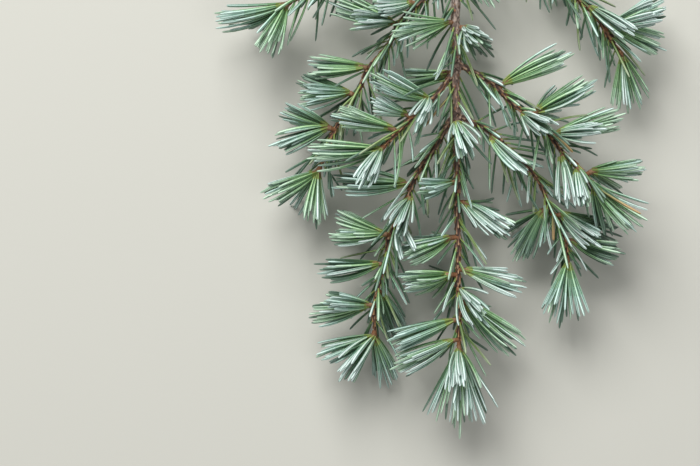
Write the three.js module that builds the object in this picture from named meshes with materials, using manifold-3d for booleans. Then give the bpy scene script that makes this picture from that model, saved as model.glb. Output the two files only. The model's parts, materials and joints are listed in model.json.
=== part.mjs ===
// A cut spray of cedar, in millimetres, lying on the plane z = 0 with its flat cut end towards +Y.
// The main stem and each side limb is one tapering solid. Each foliage mass is one solid: a short foot beside
// its limb, spurs that fork from the foot, and a rosette of stiff three-sided needles on each spur.
import * as THREE from 'three';
import { mergeVertices } from 'three/addons/utils/BufferGeometryUtils.js';
import Module from 'manifold-3d';

const wasm = await Module();
wasm.setup();

// Driving sizes
const STEM_LENGTH = 181;
const STEM_HEIGHT = 25;
const CLEARANCE = 0.3;
const LIMB_STEP = 7;
const STEM_SIDES = 7;
const LIMB_SIDES = 5;
const KINK_LENGTH = 26;

// A spur shoot: its foot beside the limb, the twigs that fork from it, and the knob that bears the needles
const FOOT_LENGTH = 1.4;
const FORKED_FOOT_LENGTH = 2;
const FOOT_RADIUS = 0.9;
const SPUR_LENGTH = 2.5;
const SPUR_RADIUS = 0.8;
const KNOB_RADIUS = 1.7;
const KNOB_LENGTH = 2.4;
const KNOB_SIDES = 5;

// A rosette of needles
const ROSETTE_RADIUS = 1.05;
const NEEDLE_LENGTH = 25;
const NEEDLE_COUNT = 7;
const LOW_NEEDLE_COUNT = 5;
const NEEDLE_SIDES = 3;
const NEEDLE_ROOT_RADIUS = 0.2;
const NEEDLE_TIP_RADIUS = 0.75;
const NEEDLE_VARIATION = 0.1;
const OUTER_SHORTER = 0.15;
const FIRST_RING = 0.6;
const FAN = 13;
const LOW_FAN = 20;
const GOLDEN_ANGLE = 137.5;
const TRIES = 4;
const RETRY_TURN = 47;
const RETRY_CLOSE = 0.15;
const ROLL_STEP = 0.37;
const ROLL_TRIES = 12;
const SHORTEST_EDGE = 0.006;
const SAME_PLACE = 1e-5;
const NEARLY_PARALLEL = 1e-9;
const JUST_UNDER_ONE = 1 - 1e-6;

// A linear congruential generator of 32 bits
const SEED = 20853;
const RANDOM_FACTOR = 1664525;
const RANDOM_STEP = 1013904223;
const RANDOM_RANGE = 2 ** 32;

// Headings are degrees from +X, counter-clockwise seen from above, and lifts are degrees above the level. A
// pair holds the value at the limb's root and at its tip. The kink is how far the heading swings each way.
function branch(at, heading, lift, length, diameter, kink) {
  return { at, heading, lift, length, diameter, kink };
}

// The main stem, and the side limbs by how far from the stem's cut end they leave it
const LIMBS = {
  main_stem: branch(0, [-90, -89], [0, 0], STEM_LENGTH, [4.2, 1.5], 3),
  limb_top_right: branch(12, [-22, -56], [-5, -1], 83, [2.6, 1.5], 9),
  limb_top_left: branch(15, [-163, -150], [-3, -1], 70, [2.5, 1.5], 8),
  limb_far_left: branch(27, [-133, -113], [-5, -1], 96, [2.8, 1.4], 9),
  limb_right_upper: branch(69, [-34, -53], [7, 3], 69, [2.6, 1.4], 9),
  limb_left_upper: branch(72, [-130, -140], [9, 4], 38, [2.4, 1.5], 6),
  limb_left_lower: branch(89, [-127, -94], [-6, -1], 91, [2.6, 1.3], 7),
  limb_right_lower: branch(90, [-27, -79], [-6, 0], 73, [2.3, 1.3], 9),
};

// One tuft: the heading and lift of its axis, the half angle of its fan, and the length of its needles
function tuft(heading, lift, fan = FAN, length = NEEDLE_LENGTH, count = NEEDLE_COUNT) {
  return { heading, lift, fan, length, count };
}

// A tuft on the side that the spray lies on
function low(heading, lift) {
  return tuft(heading, lift, LOW_FAN, NEEDLE_LENGTH, LOW_NEEDLE_COUNT);
}

// A foliage mass: how far along its limb its foot stands, its tufts, and the heading and lift of the foot
// where it doesn't simply lean the way that the tufts do
function mass(along, tufts, foot = null) {
  return { along, tufts, foot };
}

// Every foliage mass, by the limb that carries it
const MASSES = {
  main_stem: [
    mass(25, [tuft(-62, 15), tuft(-75, 62), low(-20, -62)]),
    mass(53, [tuft(-163, 30, 18)]),
    mass(55, [tuft(-58, 66, 22, 22), low(-45, -64)]),
    mass(73, [tuft(-172, -30, 14, 22)]),
    mass(93, [tuft(-76, 54, 22, 24)], [180, 82]),
    mass(117, [tuft(-165, 50, 15, 21)], [180, 30]),
    mass(125, [tuft(-38, 34, 20), low(-25, -60)]),
    mass(139, [tuft(-158, 22, 15, 23), low(-165, -60)]),
    mass(152, [tuft(-15, 12, 13)]),
    mass(154, [tuft(-172, 28, 12, 23), low(-150, -68)]),
    mass(160, [tuft(-56, 62, 24, 24)]),
    mass(165, [tuft(-42, 8, 14, 29), low(-50, -62)]),
    mass(172, [tuft(-161, 10, 12, 28)]),
    mass(STEM_LENGTH - 1, [tuft(-155, 18, 13, 27)], [-150, 5]),
    mass(STEM_LENGTH, [tuft(-87, 2, 32, 33, 12), tuft(-84, 52, 22, 24)]),
  ],
  limb_top_right: [
    mass(38, [tuft(50, 20), low(5, -50), low(-60, -66)]),
    mass(62, [tuft(-40, 32)]),
    mass(73, [tuft(24, -12, 14), tuft(10, 44, 14), tuft(-24, 6, 14, 23)]),
    mass(83, [tuft(-80, -16, 28, 22)]),
  ],
  limb_top_left: [
    mass(36, [tuft(126, 20), tuft(-175, 50), low(150, -50)]),
    mass(70, [tuft(-168, 4, 12, 30), tuft(-112, 26, 14), low(-160, -52)]),
  ],
  limb_far_left: [
    mass(20, [tuft(-166, 36, 15, 20)], [170, 50]),
    mass(31, [tuft(160, -4, 13, 27), tuft(-174, 48)]),
    mass(52, [tuft(179, -6, 12, 23)], [170, 40]),
    mass(64, [tuft(164, -18, 13, 22), tuft(-172, 28, 13, 22)], [170, 20]),
    mass(80, [tuft(158, -30, 13, 23), tuft(-160, 6, 14, 23)], [165, 15]),
    mass(96, [tuft(-155, 12, 15, 24), tuft(-93, 6, 15, 22), low(-120, -52)]),
  ],
  limb_left_lower: [
    mass(30, [tuft(179, 6, 12, 29)], [179, 30]),
    mass(35, [tuft(-115, 50, 15, 23)], [-60, 60]),
    mass(47, [tuft(-74, 46, 20, 22)], [-10, 45]),
    mass(52, [tuft(-176, 20, 12, 23), tuft(164, -22, 14, 22)], [175, 20]),
    mass(64, [tuft(-173, 10, 13)], [175, 20]),
    mass(75, [tuft(-68, -38, 14)]),
    mass(81, [tuft(174, 42, 13, 22), tuft(-170, 8, 14, 24)]),
    mass(91, [tuft(-128, 32, 20), tuft(-72, -34, 15), tuft(-160, 4, 13, 24)]),
  ],
  limb_right_upper: [
    mass(17, [tuft(24, 10, 11, 29)]),
    mass(31, [tuft(-40, 58, 22, 22)], [-145, 65]),
    mass(34, [tuft(28, 8, 11), low(22, -56)]),
    mass(46, [tuft(14, 14, 11, 27), tuft(4, 40, 15, 22)], [35, 30]),
    mass(54, [tuft(-87, 36, 14)], [-150, 40]),
    mass(62, [tuft(-86, 46, 14, 22)], [-140, 50]),
    mass(66, [tuft(3, 20, 13, 22), low(-10, -48)], [30, 10]),
    mass(69, [tuft(-39, 14, 21), tuft(-70, -24, 14, 22)]),
  ],
  limb_left_upper: [
    mass(13, [tuft(160, 24, 12), tuft(-112, 56, 20, 22)]),
    mass(23, [tuft(162, 10, 16, 15)]),
    mass(31, [tuft(168, 16, 15)]),
    mass(38, [tuft(-177, 8, 13, 29), tuft(-116, 44, 15, 24)]),
  ],
  limb_right_lower: [
    mass(14, [tuft(-48, 34, 14, 23)], [-125, 40]),
    mass(52, [tuft(-117, 4, 13, 23), low(-140, -52)]),
    mass(56, [tuft(-42, 34, 13, 22), tuft(-24, -14, 14, 26)], [20, 20]),
    mass(67, [tuft(-20, 12, 13, 21)]),
    mass(73, [tuft(-95, 4, 30, 25, 10)]),
  ],
};

// Repeatable random numbers from 0 to 1
let randomState = SEED;
function random() {
  randomState = (Math.imul(randomState, RANDOM_FACTOR) + RANDOM_STEP) >>> 0;
  return randomState / RANDOM_RANGE;
}

function direction(heading, lift) {
  const turn = THREE.MathUtils.degToRad(heading);
  const rise = THREE.MathUtils.degToRad(lift);
  return new THREE.Vector3(Math.cos(turn) * Math.cos(rise), Math.sin(turn) * Math.cos(rise), Math.sin(rise));
}

// The centre line of a limb: its heading and lift change evenly, and it sways a little from side to side
function traceLimb(limb, root) {
  const steps = Math.round(limb.length / LIMB_STEP);
  const step = limb.length / steps;
  const points = [root.clone()];
  const tangents = [direction(limb.heading[0], limb.lift[0])];
  for (let i = 1; i <= steps; i += 1) {
    const middle = (i - 0.5) / steps;
    const sway = limb.kink * Math.sin((2 * Math.PI * middle * limb.length) / KINK_LENGTH);
    const heading = THREE.MathUtils.lerp(limb.heading[0], limb.heading[1], middle) + sway;
    const lift = THREE.MathUtils.lerp(limb.lift[0], limb.lift[1], middle);
    points.push(points[i - 1].clone().addScaledVector(direction(heading, lift), step));
    const along = i / steps;
    tangents.push(direction(
      THREE.MathUtils.lerp(limb.heading[0], limb.heading[1], along),
      THREE.MathUtils.lerp(limb.lift[0], limb.lift[1], along),
    ));
  }
  return { ...limb, points, tangents, steps, step };
}

function radiusAt(limb, distance) {
  return THREE.MathUtils.lerp(limb.diameter[0], limb.diameter[1], distance / limb.length) / 2;
}

// The point on the centre line at a distance from the limb's root, and the way that the limb runs there
function stationAt(limb, distance) {
  const place = Math.min(distance / limb.step, limb.steps - 1 + JUST_UNDER_ONE);
  const i = Math.floor(place);
  const point = limb.points[i].clone().lerp(limb.points[i + 1], place - i);
  const tangent = limb.tangents[i].clone().lerp(limb.tangents[i + 1], place - i).normalize();
  return { point, tangent };
}

// How far from a limb's centre line a round end of the given radius stands to stay clear of the limb
function standOff(limbRadius, endRadius, cosine) {
  const sine = Math.sqrt(1 - cosine * cosine);
  return (limbRadius + CLEARANCE + endRadius * Math.abs(cosine)) / sine;
}

// A tapering round bar bent along the limb's centre line
function limbGeometry(limb, sides) {
  const [rootRadius, tipRadius] = [limb.diameter[0] / 2, limb.diameter[1] / 2];
  const bar = new THREE.CylinderGeometry(tipRadius, rootRadius, limb.steps, sides, limb.steps);
  const position = bar.getAttribute('position');
  for (let i = 0; i < position.count; i += 1) {
    const ring = Math.round(position.getY(i) + limb.steps / 2);
    const tangent = limb.tangents[ring];
    const side = new THREE.Vector3(0, 0, 1).cross(tangent).normalize();
    const top = side.clone().cross(tangent).normalize();
    const place = limb.points[ring].clone();
    place.addScaledVector(side, position.getX(i)).addScaledVector(top, position.getZ(i));
    position.setXYZ(i, place.x, place.y, place.z);
  }
  return bar;
}

// A tapering prong with flat sides from one point to another
function prong(from, to, rootRadius, tipRadius, roll, sides = NEEDLE_SIDES) {
  const outline = new THREE.Shape();
  for (let i = 0; i < sides; i += 1) {
    const angle = roll + (2 * Math.PI * i) / sides;
    const corner = [Math.cos(angle), Math.sin(angle)];
    if (i === 0) outline.moveTo(...corner);
    else outline.lineTo(...corner);
  }
  const length = from.distanceTo(to);
  const shape = new THREE.ExtrudeGeometry(outline, { depth: length, bevelEnabled: false, steps: 1 });
  const position = shape.getAttribute('position');
  for (let i = 0; i < position.count; i += 1) {
    const radius = position.getZ(i) > length / 2 ? tipRadius : rootRadius;
    position.setXY(i, position.getX(i) * radius, position.getY(i) * radius);
  }
  const axis = to.clone().sub(from).normalize();
  shape.applyQuaternion(new THREE.Quaternion().setFromUnitVectors(new THREE.Vector3(0, 0, 1), axis));
  shape.translate(from.x, from.y, from.z);
  return shape;
}

function toSolid(geometry) {
  const bare = geometry.clone();
  bare.deleteAttribute('normal');
  if (bare.hasAttribute('uv')) bare.deleteAttribute('uv');
  const merged = mergeVertices(bare, SAME_PLACE);
  return new wasm.Manifold(new wasm.Mesh({
    numProp: 3,
    vertProperties: new Float32Array(merged.getAttribute('position').array),
    triVerts: new Uint32Array(merged.getIndex().array),
  }));
}

function fromSolid(solid) {
  const mesh = solid.getMesh();
  const geometry = new THREE.BufferGeometry();
  geometry.setAttribute('position', new THREE.BufferAttribute(new Float32Array(mesh.vertProperties), 3));
  geometry.setIndex(new THREE.BufferAttribute(new Uint32Array(mesh.triVerts), 1));
  geometry.computeVertexNormals();
  return geometry;
}

// The largest body of a joined solid, so that a hollow sealed by the joining is filled
function mainBody(solid) {
  return solid.decompose().reduce((largest, body) => (body.volume() > largest.volume() ? body : largest));
}

// The shortest distance between two straight bars' centre lines
function barDistance(a, b) {
  const u = a.to.clone().sub(a.from);
  const v = b.to.clone().sub(b.from);
  const w = a.from.clone().sub(b.from);
  const [uu, uv, vv, uw, vw] = [u.dot(u), u.dot(v), v.dot(v), u.dot(w), v.dot(w)];
  const spread = uu * vv - uv * uv;
  let s = spread > NEARLY_PARALLEL ? THREE.MathUtils.clamp((uv * vw - vv * uw) / spread, 0, 1) : 0;
  const t = THREE.MathUtils.clamp((uv * s + vw) / vv, 0, 1);
  s = THREE.MathUtils.clamp((uv * t - uw) / uu, 0, 1);
  const gap = w.addScaledVector(u, s).addScaledVector(v, -t);
  return gap.length();
}

// Bars that are already in place, each with its owner's name, so that no solid touches another
const placed = [];
function isClear(bar, owner) {
  return placed.every((other) => other.owner === owner
    || barDistance(bar, other) > bar.radius + other.radius + CLEARANCE);
}

function placeLimb(name, limb, limbs) {
  let root = new THREE.Vector3(0, 0, STEM_HEIGHT);
  const stem = limbs.main_stem;
  if (stem) {
    const station = stationAt(stem, limb.at);
    const away = direction(limb.heading[0], limb.lift[0]);
    const distance = standOff(radiusAt(stem, limb.at), limb.diameter[0] / 2, away.dot(station.tangent));
    root = station.point.addScaledVector(away, distance);
  }
  const traced = traceLimb(limb, root);
  for (let i = 0; i < traced.steps; i += 1) {
    const radius = radiusAt(traced, i * traced.step);
    placed.push({ from: traced.points[i], to: traced.points[i + 1], radius, owner: name });
  }
  return traced;
}

// One needle of a rosette: its place in the fan comes from its number, and it lies no lower than the ground
function needleBar(knob, axis, order, attempt, { fan, length, count }) {
  const side = new THREE.Vector3(0, 0, 1).cross(axis).normalize();
  const top = axis.clone().cross(side);
  const share = Math.sqrt((order + FIRST_RING) / count);
  const around = THREE.MathUtils.degToRad(GOLDEN_ANGLE * (order + 1) + RETRY_TURN * attempt);
  const open = THREE.MathUtils.degToRad(fan * share * (1 - RETRY_CLOSE * attempt));
  const way = axis.clone().multiplyScalar(Math.cos(open));
  way.addScaledVector(side, Math.sin(open) * Math.cos(around));
  way.addScaledVector(top, Math.sin(open) * Math.sin(around));
  const reach = length * (1 - OUTER_SHORTER * share) * (1 - NEEDLE_VARIATION * random());
  const ring = ROSETTE_RADIUS * share;
  const root = knob.clone().addScaledVector(axis, -KNOB_LENGTH / 4);
  root.addScaledVector(side, ring * Math.cos(around)).addScaledVector(top, ring * Math.sin(around));
  const tip = root.clone().addScaledVector(way, reach);
  if (tip.z < NEEDLE_TIP_RADIUS) {
    const drop = (root.z - NEEDLE_TIP_RADIUS) / reach;
    const level = Math.sqrt(1 - drop * drop) / Math.hypot(way.x, way.y);
    tip.set(root.x + way.x * level * reach, root.y + way.y * level * reach, NEEDLE_TIP_RADIUS);
  }
  return { from: root, to: tip, radius: NEEDLE_TIP_RADIUS };
}

function growRosette(knob, axis, rosette, owner) {
  const bars = [];
  for (let order = 0; order < rosette.count; order += 1) {
    for (let attempt = 0; attempt < TRIES; attempt += 1) {
      const bar = needleBar(knob, axis, order, attempt, rosette);
      if (isClear(bar, owner)) {
        bars.push(bar);
        break;
      }
    }
  }
  return bars;
}

// A knob and its needles, joined while the knob's axis is upright and then turned, so that its end stays flat
function rosetteGeometry({ knob, axis, needles }, roll) {
  const turn = new THREE.Quaternion().setFromUnitVectors(new THREE.Vector3(0, 0, 1), axis);
  const back = turn.clone().invert();
  const half = new THREE.Vector3(0, 0, KNOB_LENGTH / 2);
  const button = toSolid(prong(half.clone().negate(), half, KNOB_RADIUS, KNOB_RADIUS, roll, KNOB_SIDES));
  const joined = needles.reduce((solid, bar, i) => {
    const from = bar.from.clone().sub(knob).applyQuaternion(back);
    const to = bar.to.clone().sub(knob).applyQuaternion(back);
    return solid.add(toSolid(prong(from, to, NEEDLE_ROOT_RADIUS, NEEDLE_TIP_RADIUS, roll + ROLL_STEP * i)));
  }, button);
  const geometry = fromSolid(joined);
  geometry.applyQuaternion(turn);
  geometry.translate(knob.x, knob.y, knob.z);
  return geometry;
}

function shortestEdge(geometry) {
  const position = geometry.getAttribute('position');
  const corners = geometry.getIndex();
  const [a, b] = [new THREE.Vector3(), new THREE.Vector3()];
  let shortest = Infinity;
  for (let i = 0; i < corners.count; i += 1) {
    const next = i % 3 === 2 ? i - 2 : i + 1;
    a.fromBufferAttribute(position, corners.getX(i));
    b.fromBufferAttribute(position, corners.getX(next));
    shortest = Math.min(shortest, a.distanceTo(b));
  }
  return shortest;
}

// The twigs and rosettes of a mass as one solid. Where two facets cross in a sliver, all are rolled further.
function joinMass(twigs, rosettes) {
  let geometry;
  for (let attempt = 0; attempt < ROLL_TRIES; attempt += 1) {
    const roll = ROLL_STEP * (attempt + 0.5);
    const pieces = [
      ...twigs.map((bar, i) => prong(bar.from, bar.to, bar.radius, SPUR_RADIUS, roll + ROLL_STEP * i)),
      ...rosettes.map((rosette) => rosetteGeometry(rosette, roll)),
    ];
    geometry = fromSolid(mainBody(pieces.map(toSolid).reduce((sum, next) => sum.add(next))));
    if (shortestEdge(geometry) > SHORTEST_EDGE) break;
  }
  return geometry;
}

// A foliage mass: its foot stands off the limb's side or tip, and each spur forks from the foot
function growMass(name, limb, { along, tufts, foot }) {
  const { point, tangent } = stationAt(limb, along);
  const axes = tufts.map((one) => direction(one.heading, one.lift));
  const lean = foot ? [direction(...foot)] : axes;
  const away = lean.reduce((sum, axis) => sum.add(axis), new THREE.Vector3());
  const atTip = along >= limb.length;
  if (atTip) away.copy(tangent);
  else away.addScaledVector(tangent, -away.dot(tangent)).normalize();
  const root = point.clone().addScaledVector(away, (atTip ? 0 : radiusAt(limb, along)) + CLEARANCE);
  const footLength = atTip || tufts.length > 1 ? FORKED_FOOT_LENGTH : FOOT_LENGTH;
  const fork = root.clone().addScaledVector(away, footLength);
  const twigs = [{ from: root, to: fork, radius: FOOT_RADIUS }];
  const rosettes = [];
  const taken = [];
  axes.forEach((axis, i) => {
    const knob = fork.clone().addScaledVector(axis, SPUR_LENGTH);
    const half = axis.clone().multiplyScalar(KNOB_LENGTH / 2);
    const spur = { from: fork.clone().addScaledVector(axis, -CLEARANCE), to: knob, radius: SPUR_RADIUS };
    const button = { from: knob.clone().sub(half), to: knob.clone().add(half), radius: KNOB_RADIUS };
    if (!isClear(spur, name) || !isClear(button, name)) return;
    const needles = growRosette(knob, axis, tufts[i], name);
    twigs.push(spur);
    rosettes.push({ knob, axis, needles });
    taken.push(button, ...needles);
  });
  placed.push(...[...twigs, ...taken].map((bar) => ({ ...bar, owner: name })));
  return joinMass(twigs, rosettes);
}

function barkMaterial() {
  return new THREE.MeshStandardMaterial({ color: '#7a5a4a', roughness: 0.85, metalness: 0 });
}

function needleMaterial() {
  return new THREE.MeshStandardMaterial({ color: '#7fa894', roughness: 0.6, metalness: 0 });
}

function addMesh(group, name, geometry, material) {
  const mesh = new THREE.Mesh(geometry, material);
  mesh.name = name;
  group.add(mesh);
}

function buildSpray() {
  const spray = new THREE.Group();
  const limbs = {};
  for (const [name, limb] of Object.entries(LIMBS)) {
    limbs[name] = placeLimb(name, limb, limbs);
    const sides = name === 'main_stem' ? STEM_SIDES : LIMB_SIDES;
    addMesh(spray, name, limbGeometry(limbs[name], sides), barkMaterial());
  }
  for (const [carrier, masses] of Object.entries(MASSES)) {
    masses.forEach((plan, i) => {
      const name = `${carrier.replace('limb_', '').replace('_stem', '')}_needles_${i + 1}`;
      addMesh(spray, name, growMass(name, limbs[carrier], plan), needleMaterial());
    });
  }
  // The origin is under the middle of the spray, on the surface that it lies on
  const box = new THREE.Box3().setFromObject(spray);
  const middle = box.getCenter(new THREE.Vector3());
  spray.position.set(-middle.x, -middle.y, -box.min.z);
  return spray;
}

export default buildSpray();
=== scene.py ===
# A cut spray of cedar lying on a table: its bark, spur shoots and needles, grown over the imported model.
# Distances are in metres in the model's own frame, with +Z up and the flat cut end towards +Y.
import json
import math
import random

import bpy
import numpy as np
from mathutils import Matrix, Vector, noise


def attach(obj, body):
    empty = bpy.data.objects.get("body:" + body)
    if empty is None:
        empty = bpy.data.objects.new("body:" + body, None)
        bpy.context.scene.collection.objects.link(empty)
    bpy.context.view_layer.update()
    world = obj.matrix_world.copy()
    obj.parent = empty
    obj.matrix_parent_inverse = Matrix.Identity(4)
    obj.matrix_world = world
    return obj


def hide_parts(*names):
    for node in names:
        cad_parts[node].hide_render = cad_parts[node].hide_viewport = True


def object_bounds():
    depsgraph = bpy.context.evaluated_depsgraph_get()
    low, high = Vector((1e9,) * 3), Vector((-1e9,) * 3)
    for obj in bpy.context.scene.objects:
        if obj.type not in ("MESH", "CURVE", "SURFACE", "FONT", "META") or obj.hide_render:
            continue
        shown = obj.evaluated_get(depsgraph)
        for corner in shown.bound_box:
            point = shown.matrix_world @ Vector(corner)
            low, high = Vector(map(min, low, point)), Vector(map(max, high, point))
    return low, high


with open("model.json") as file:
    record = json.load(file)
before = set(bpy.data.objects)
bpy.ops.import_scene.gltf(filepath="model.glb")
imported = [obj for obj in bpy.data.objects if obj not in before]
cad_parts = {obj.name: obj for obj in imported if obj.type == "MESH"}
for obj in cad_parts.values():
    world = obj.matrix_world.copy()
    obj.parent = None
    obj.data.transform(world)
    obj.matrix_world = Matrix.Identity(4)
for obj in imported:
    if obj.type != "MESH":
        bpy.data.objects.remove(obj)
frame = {"record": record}
MODEL_BOX = [list(corner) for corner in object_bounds()]

bl_info = {
    "name": "Cedar spray",
    "version": (1, 0, 0),
    "blender": (4, 5, 0),
    "location": "View3D > Sidebar > Cedar",
    "description": "Grows the bark, spur shoots and needles of a cut spray of cedar",
    "category": "Mesh",
}

MM = 0.001
UP = np.array([0.0, 0.0, 1.0])
CUT_CENTRE = np.array(frame["record"]["mounts"][0]["pos_m"])

# The growth rule of the solids, with the same sizes. Lengths that stand in the plans are in millimetres.
STEM_LENGTH = 181
CLEARANCE = 0.3 * MM
LIMB_STEP = 7 * MM
KINK_LENGTH = 26 * MM
FOOT_LENGTH = 1.4 * MM
FORKED_FOOT_LENGTH = 2 * MM
SPUR_LENGTH = 2.5 * MM
KNOB_LENGTH = 2.4 * MM
ROSETTE_RADIUS = 1.05 * MM
NEEDLE_LENGTH = 25
NEEDLE_COUNT = 7
LOW_NEEDLE_COUNT = 5
FAN = 13
LOW_FAN = 20
GOLDEN_ANGLE = 137.5
TRIES = 4
RETRY_TURN = 47
RETRY_CLOSE = 0.15
FIRST_RING = 0.6
OUTER_SHORTER = 0.15
SEED = 20853
NEARLY_PARALLEL = 1e-18
NEARLY_NOTHING = 1e-9
JUST_SHORT = 1e-6

# How far the same rule is carried here: more needles on each spur, thin enough to pass between each other
NEEDLES_FOR_ONE = 3.3
FACING_NEEDLES_FOR_ONE = 2.4
MOST_NEEDLES = 40
LENGTH_RANGE = (0.88, 1.07)
SHORT_SHARE = 0.12
SHORT_LENGTH = (0.5, 0.85)
TURN_SPREAD = math.radians(24)
OPEN_RANGE = (0.7, 1.2)
FACING_OPEN_RANGE = (0.3, 1.05)
FACING_WIDTH = 1.24
CROWN_DEPTH = 1.6 * MM

# Needles of a narrow tuft close towards its tip, as do those of one that faces up, and those of a wide one
# don't. A tuft sweeps as one.
MOST_CURL = math.radians(15)
STRAIGHT_FAN = 17
CURLED_FAN = 11
FACING_CURL = 0.8
SWEEP = (0.0, 0.13)
SWEEP_SPREAD = 0.04
BULGE_SPREAD = 3
SIDEWAYS_SPREAD = 4
ROLL_SPREAD = 35
NEAREST_TO_FLOOR = 0.5 * MM


def branch(at, heading, lift, length, diameter, kink):
    """A limb of the plan, in millimetres. A pair holds the root's and the tip's value."""
    return {
        "at": at * MM,
        "heading": heading,
        "lift": lift,
        "length": length * MM,
        "radius": (diameter[0] * MM / 2, diameter[1] * MM / 2),
        "kink": kink,
    }


# The main stem, and the side limbs by how far from the stem's cut end they leave it
LIMB_PLANS = {
    "main_stem": branch(0, (-90, -89), (0, 0), STEM_LENGTH, (4.2, 1.5), 3),
    "limb_top_right": branch(12, (-22, -56), (-5, -1), 83, (2.6, 1.5), 9),
    "limb_top_left": branch(15, (-163, -150), (-3, -1), 70, (2.5, 1.5), 8),
    "limb_far_left": branch(27, (-133, -113), (-5, -1), 96, (2.8, 1.4), 9),
    "limb_right_upper": branch(69, (-34, -53), (7, 3), 69, (2.6, 1.4), 9),
    "limb_left_upper": branch(72, (-130, -140), (9, 4), 38, (2.4, 1.5), 6),
    "limb_left_lower": branch(89, (-127, -94), (-6, -1), 91, (2.6, 1.3), 7),
    "limb_right_lower": branch(90, (-27, -79), (-6, 0), 73, (2.3, 1.3), 9),
}


def tuft(heading, lift, fan=FAN, length=NEEDLE_LENGTH, count=NEEDLE_COUNT):
    """One tuft: the way of its axis, the half angle of its fan, and its needles' length in millimetres."""
    return {"axis": direction(heading, lift), "lift": lift, "fan": fan, "length": length * MM, "count": count}


def low(heading, lift):
    """A tuft on the side that the spray lies on."""
    return tuft(heading, lift, LOW_FAN, NEEDLE_LENGTH, LOW_NEEDLE_COUNT)


def mass(along, tufts, foot=None):
    """A foliage mass: how far along its limb it stands, in millimetres, its tufts and its foot's way."""
    return {"along": along * MM, "tufts": tufts, "foot": foot}


def direction(heading, lift):
    """The unit vector at a heading from +X and a lift above the level, both in degrees."""
    turn, rise = math.radians(heading), math.radians(lift)
    return np.array([math.cos(turn) * math.cos(rise), math.sin(turn) * math.cos(rise), math.sin(rise)])


# Every foliage mass, by the limb that carries it
MASS_PLANS = {
    "main_stem": [
        mass(25, [tuft(-62, 15), tuft(-75, 62), low(-20, -62)]),
        mass(53, [tuft(-163, 30, 18)]),
        mass(55, [tuft(-58, 66, 22, 22), low(-45, -64)]),
        mass(73, [tuft(-172, -30, 14, 22)]),
        mass(93, [tuft(-76, 54, 22, 24)], (180, 82)),
        mass(117, [tuft(-165, 50, 15, 21)], (180, 30)),
        mass(125, [tuft(-38, 34, 20), low(-25, -60)]),
        mass(139, [tuft(-158, 22, 15, 23), low(-165, -60)]),
        mass(152, [tuft(-15, 12, 13)]),
        mass(154, [tuft(-172, 28, 12, 23), low(-150, -68)]),
        mass(160, [tuft(-56, 62, 24, 24)]),
        mass(165, [tuft(-42, 8, 14, 29), low(-50, -62)]),
        mass(172, [tuft(-161, 10, 12, 28)]),
        mass(STEM_LENGTH - 1, [tuft(-155, 18, 13, 27)], (-150, 5)),
        mass(STEM_LENGTH, [tuft(-87, 2, 32, 33, 12), tuft(-84, 52, 22, 24)]),
    ],
    "limb_top_right": [
        mass(38, [tuft(50, 20), low(5, -50), low(-60, -66)]),
        mass(62, [tuft(-40, 32)]),
        mass(73, [tuft(24, -12, 14), tuft(10, 44, 14), tuft(-24, 6, 14, 23)]),
        mass(83, [tuft(-80, -16, 28, 22)]),
    ],
    "limb_top_left": [
        mass(36, [tuft(126, 20), tuft(-175, 50), low(150, -50)]),
        mass(70, [tuft(-168, 4, 12, 30), tuft(-112, 26, 14), low(-160, -52)]),
    ],
    "limb_far_left": [
        mass(20, [tuft(-166, 36, 15, 20)], (170, 50)),
        mass(31, [tuft(160, -4, 13, 27), tuft(-174, 48)]),
        mass(52, [tuft(179, -6, 12, 23)], (170, 40)),
        mass(64, [tuft(164, -18, 13, 22), tuft(-172, 28, 13, 22)], (170, 20)),
        mass(80, [tuft(158, -30, 13, 23), tuft(-160, 6, 14, 23)], (165, 15)),
        mass(96, [tuft(-155, 12, 15, 24), tuft(-93, 6, 15, 22), low(-120, -52)]),
    ],
    "limb_left_lower": [
        mass(30, [tuft(179, 6, 12, 29)], (179, 30)),
        mass(35, [tuft(-115, 50, 15, 23)], (-60, 60)),
        mass(47, [tuft(-74, 46, 20, 22)], (-10, 45)),
        mass(52, [tuft(-176, 20, 12, 23), tuft(164, -22, 14, 22)], (175, 20)),
        mass(64, [tuft(-173, 10, 13)], (175, 20)),
        mass(75, [tuft(-68, -38, 14)]),
        mass(81, [tuft(174, 42, 13, 22), tuft(-170, 8, 14, 24)]),
        mass(91, [tuft(-128, 32, 20), tuft(-72, -34, 15), tuft(-160, 4, 13, 24)]),
    ],
    "limb_right_upper": [
        mass(17, [tuft(24, 10, 11, 29)]),
        mass(31, [tuft(-40, 58, 22, 22)], (-145, 65)),
        mass(34, [tuft(28, 8, 11), low(22, -56)]),
        mass(46, [tuft(14, 14, 11, 27), tuft(4, 40, 15, 22)], (35, 30)),
        mass(54, [tuft(-87, 36, 14)], (-150, 40)),
        mass(62, [tuft(-86, 46, 14, 22)], (-140, 50)),
        mass(66, [tuft(3, 20, 13, 22), low(-10, -48)], (30, 10)),
        mass(69, [tuft(-39, 14, 21), tuft(-70, -24, 14, 22)]),
    ],
    "limb_left_upper": [
        mass(13, [tuft(160, 24, 12), tuft(-112, 56, 20, 22)]),
        mass(23, [tuft(162, 10, 16, 15)]),
        mass(31, [tuft(168, 16, 15)]),
        mass(38, [tuft(-177, 8, 13, 29), tuft(-116, 44, 15, 24)]),
    ],
    "limb_right_lower": [
        mass(14, [tuft(-48, 34, 14, 23)], (-125, 40)),
        mass(52, [tuft(-117, 4, 13, 23), low(-140, -52)]),
        mass(56, [tuft(-42, 34, 13, 22), tuft(-24, -14, 14, 26)], (20, 20)),
        mass(67, [tuft(-20, 12, 13, 21)]),
        mass(73, [tuft(-95, 4, 30, 25, 10)]),
    ],
}

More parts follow.
